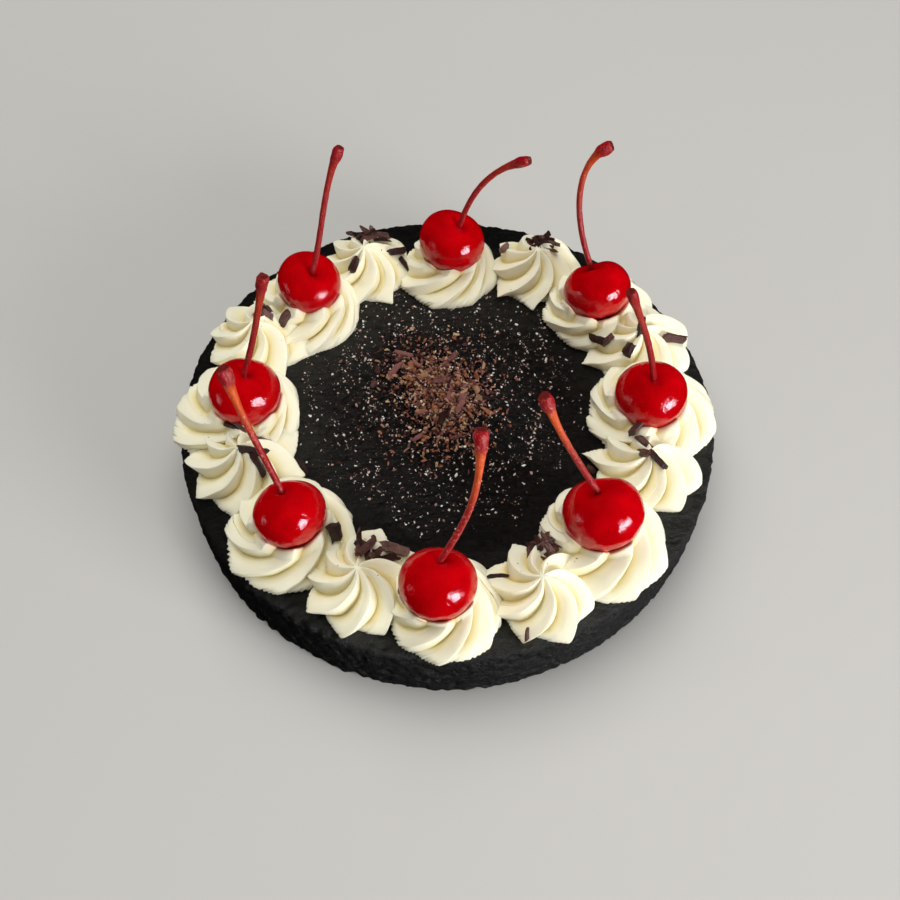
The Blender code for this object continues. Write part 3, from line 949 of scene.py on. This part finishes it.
# Piles: middle x and y, spread and number of pieces. Single flakes: x, y, length, width,
# thickness and heading in degrees. Lengths in mm.
PILES = (
    (-25, 62.5, 4.2, 13),
    (30, 58, 4.8, 17),
    (24, -49, 3.6, 13),
    (-21.6, -49.5, 3.2, 11),
    (-57, -13, 2.6, 6),
    (-55.5, 28, 2.6, 7),
)
FLAKES = (
    (-28.5, 48, 5.4, 2.4, 1.3, 75),
    (-16, 56, 4.6, 1.7, 1.1, 15),
    (-13.5, 53, 4.2, 1.3, 1.0, -50),
    (18.5, 57, 4.0, 1.3, 1.0, 60),
    (45, 21, 5.6, 1.6, 1.2, -28),
    (47, 19.5, 3.8, 1.5, 1.1, 35),
    (47, 27.5, 3.6, 1.3, 1.0, -30),
    (56.5, 21, 5.8, 1.6, 1.3, 84),
    (53, 14.5, 4.2, 2.4, 1.3, 60),
    (67, 20.5, 6.2, 2.2, 1.3, -4),
    (52, -14, 5.0, 1.5, 1.1, 35),
    (53, -19, 5.4, 2.1, 1.3, -32),
    (52.5, -23, 5.6, 1.4, 1.1, -58),
    (56, -24, 5.2, 1.3, 1.1, -52),
    (39.5, -21, 2.2, 1.3, 0.9, -40),
    (12, -55.5, 4.2, 1.1, 0.6, 4),
    (19, -71, 2.8, 0.8, 0.6, 84),
    (-30.5, -45.0, 4.7, 3.3, 1.9, -38),
    (-18.0, -52.6, 8.0, 1.3, 1.2, -5),
    (-14.6, -48.6, 6.2, 2.0, 1.6, -10),
    (-51, -15.5, 5.4, 1.6, 1.2, -8),
    (-53, -21, 6.6, 2.0, 1.2, -6),
    (-51.5, -25, 5.8, 1.8, 1.2, -18),
    (-48, 27, 4.6, 2.2, 1.4, 55),
    (-40.5, -20.5, 4.2, 1.3, 1.0, -52),
)


def drop(x, y):
    """What lies under a point, and its slope: the cream, the sponge or the table."""
    found, slope, _, _ = resting.ray_cast(Vector((x, y, 60 * MM)), Vector((0, 0, -1)))
    return (found, slope) if found else (Vector((x, y, 0.0)), Vector((0, 0, 1)))


shape = new_scatter()
for k, (x, y, length, width, thick, heading) in enumerate(FLAKES):
    found, slope = drop(x * MM, y * MM)
    tilt = Vector((0.0, 0.0, 1.0)).rotation_difference(slope).to_matrix()
    tilt = tilt @ Matrix.Rotation(math.radians(heading), 3, "Z")
    size = Vector((length * 1.25, width * 1.25, thick * 1.5)) * MM
    add_splinter(shape, shards[k % SPLINTER_KINDS], found + slope * 0.6 * thick * MM, size, tilt,
                 draws.random())
for x, y, spread, count in PILES:
    for k in range(count):
        turn = draws.uniform(0, math.tau)
        away = spread * math.sqrt(draws.random())
        found, _ = drop((x + away * math.cos(turn)) * MM, (y + away * math.sin(turn)) * MM)
        length = draws.uniform(3.0, 6.6)
        size = Vector((length * 1.2, draws.uniform(1.2, 2.1), draws.uniform(0.7, 1.2))) * MM
        rise = (0.5 + 1.8 * (1 - away / spread) * draws.random()) * MM
        add_splinter(shape, shards[draws.randrange(SPLINTER_KINDS)], found + Vector((0, 0, rise)),
                     size, any_turn(0.8), draws.random())
flaked = chocolate_finish("dark_chocolate_flakes", (
    (0.032, 0.012, 0.011), (0.095, 0.040, 0.034), (0.25, 0.145, 0.125)), 0.30)
scatter_piece("flakes_on_cream", shape, flaked)


# The crumbs: what the grater threw further out over the sponge. Brown and reddish crumbs,
# pale specks of nut and bloom, and a fine dark dust on the cream.
def add_crumb(shape, place, size, tint):
    """One angular crumb: a few-faced lump, squashed and turned at random."""
    layer = shape.verts.layers.float["tint"]
    made = bmesh.ops.create_icosphere(shape, subdivisions=1, radius=1.0)["verts"]
    squash = Vector((draws.uniform(0.7, 1.5), draws.uniform(0.45, 0.9), draws.uniform(0.3, 0.7)))
    turn = any_turn(1.0)
    for vert in made:
        rough = vert.co * draws.uniform(0.55, 1.25)
        vert.co = place + turn @ (rough * squash * size)
        vert[layer] = tint


def scatter_crumbs(name, places, sizes, material):
    """Crumbs at given places, on the sponge only; most are near the smaller size."""
    shape = new_scatter()
    for place in places:
        found, _ = drop(*place)
        size = sizes[0] + (sizes[1] - sizes[0]) * draws.random() ** 3
        if abs(found.z - CAKE_HEIGHT) < 1.0 * MM:
            rise = heap_height(place) * 0.8 + size * 0.3
            add_crumb(shape, found + Vector((0, 0, rise)), size, draws.random())
    scatter_piece(name, shape, material)


def thrown(spread, power):
    """A point thrown out from the heap, in drifts, fewer the further they go."""
    turn = draws.uniform(0, math.tau)
    away = spread * draws.random() ** power
    drift = noise.noise(Vector((4 * math.cos(turn), 4 * math.sin(turn), away / (7 * MM))))
    place = Vector((math.cos(turn), 1.15 * math.sin(turn))) * away * (1 + 0.12 * drift)
    return HEAP_MIDDLE.xy + place


brown = chocolate_finish("brown_crumbs", (
    (0.055, 0.018, 0.013), (0.17, 0.055, 0.045), (0.36, 0.13, 0.085), (0.50, 0.28, 0.16)), 0.40)
pale = chocolate_finish("pale_specks", (
    (0.46, 0.30, 0.27), (0.70, 0.57, 0.49), (0.86, 0.83, 0.75), (0.93, 0.93, 0.89)), 0.5)
brown_places = [heap_place(8.5) for _ in range(900)] + [thrown(36 * MM, 0.8) for _ in range(300)]
scatter_crumbs("brown_crumbs", brown_places, (0.16 * MM, 0.65 * MM), brown)
scatter_crumbs("pale_crumbs", [thrown(41 * MM, 0.80) for _ in range(3600)],
               (0.07 * MM, 0.55 * MM), pale)

shape = new_scatter()
for x, y, spread, count in PILES:
    for k in range(24):
        found, _ = drop((x + draws.gauss(0, spread * 1.6)) * MM, (y + draws.gauss(0, spread * 1.6)) * MM)
        if found.z > CAKE_HEIGHT + 1.0 * MM:
            add_crumb(shape, found, draws.uniform(0.08, 0.30) * MM, draws.random())
scatter_piece("dust_on_cream", shape, flaked)
